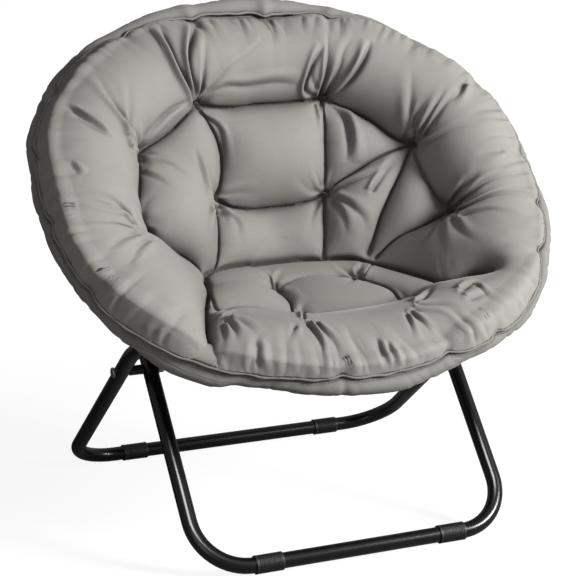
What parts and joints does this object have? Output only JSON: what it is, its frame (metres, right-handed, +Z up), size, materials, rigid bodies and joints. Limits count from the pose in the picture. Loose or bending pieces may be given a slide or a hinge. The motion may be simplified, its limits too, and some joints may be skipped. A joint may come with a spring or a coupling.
{
  "type": "folding saucer chair",
  "caption": "Folding chair with a round tufted bowl cushion on a two-part tubular rim, carried by crossed U-shaped tube legs with foot sleeves.",
  "frame": {"origin": "on the floor under the middle of the whole chair", "axes": "+X to the right as seen from the front, +Y to the back, +Z up"},
  "size_m": [0.7838, 0.5591, 0.7455],
  "materials": {
    "frame_black": "gloss black powder coat",
    "black_plastic": "satin moulded",
    "bright_steel": "zinc plated",
    "cushion_fabric": "smooth soft woven with a faint sheen",
    "cover_fabric": "smooth soft woven",
    "sewing_thread": "twisted thread"
  },
  "bodies": {
    "front_legs": {"front_leg_frame": "frame_black", "front_left_foot": "black_plastic", "front_right_foot": "black_plastic", "pivot_bolts": "bright_steel", "pivot_spacers": "black_plastic", "pivot_washers": "bright_steel", "pivot_nuts": "bright_steel", "rear_rim": "frame_black", "left_hinge_outer_plate": "frame_black", "left_hinge_inner_plate": "frame_black", "right_hinge_outer_plate": "frame_black", "right_hinge_inner_plate": "frame_black", "rim_hinge_pins": "bright_steel", "rim_hinge_rivets": "bright_steel", "front_leg_saddles": "black_plastic", "front_leg_rim_bolts": "bright_steel", "back_rim_sleeve": "cover_fabric", "back_cushion": "cushion_fabric", "back_under_cover": "cover_fabric", "back_piping": "cover_fabric", "back_tufts": "sewing_thread"},
    "rear_legs": {"rear_leg_frame": "frame_black", "rear_left_foot": "black_plastic", "rear_right_foot": "black_plastic", "rear_leg_saddles": "black_plastic"},
    "front_rim_half": {"front_rim": "frame_black", "rear_leg_rim_bolts": "bright_steel", "seat_rim_sleeve": "cover_fabric", "seat_cushion": "cushion_fabric", "seat_under_cover": "cover_fabric", "seat_piping": "cover_fabric", "seat_tufts": "sewing_thread"}
  },
  "joints": [
    {"name": "leg_fold", "type": "hinge", "parent": "front_legs", "child": "rear_legs", "pos_m": [0, -0.02964, 0.2415], "axis": [-1, 0, 0], "range_deg": [0, 94]},
    {"name": "rim_fold", "type": "hinge", "parent": "front_legs", "child": "front_rim_half", "pos_m": [0, -0.01804, 0.4836], "axis": [-1, 0, 0], "range_deg": [0, 141], "deforming": ["seat_cushion", "back_cushion", "seat_rim_sleeve", "back_rim_sleeve", "seat_under_cover", "back_under_cover", "seat_piping", "back_piping", "seat_tufts", "back_tufts"]}
  ],
  "couplings": [
    {"joint": "rim_fold", "follows": "leg_fold", "ratio": 1.5}
  ]
}
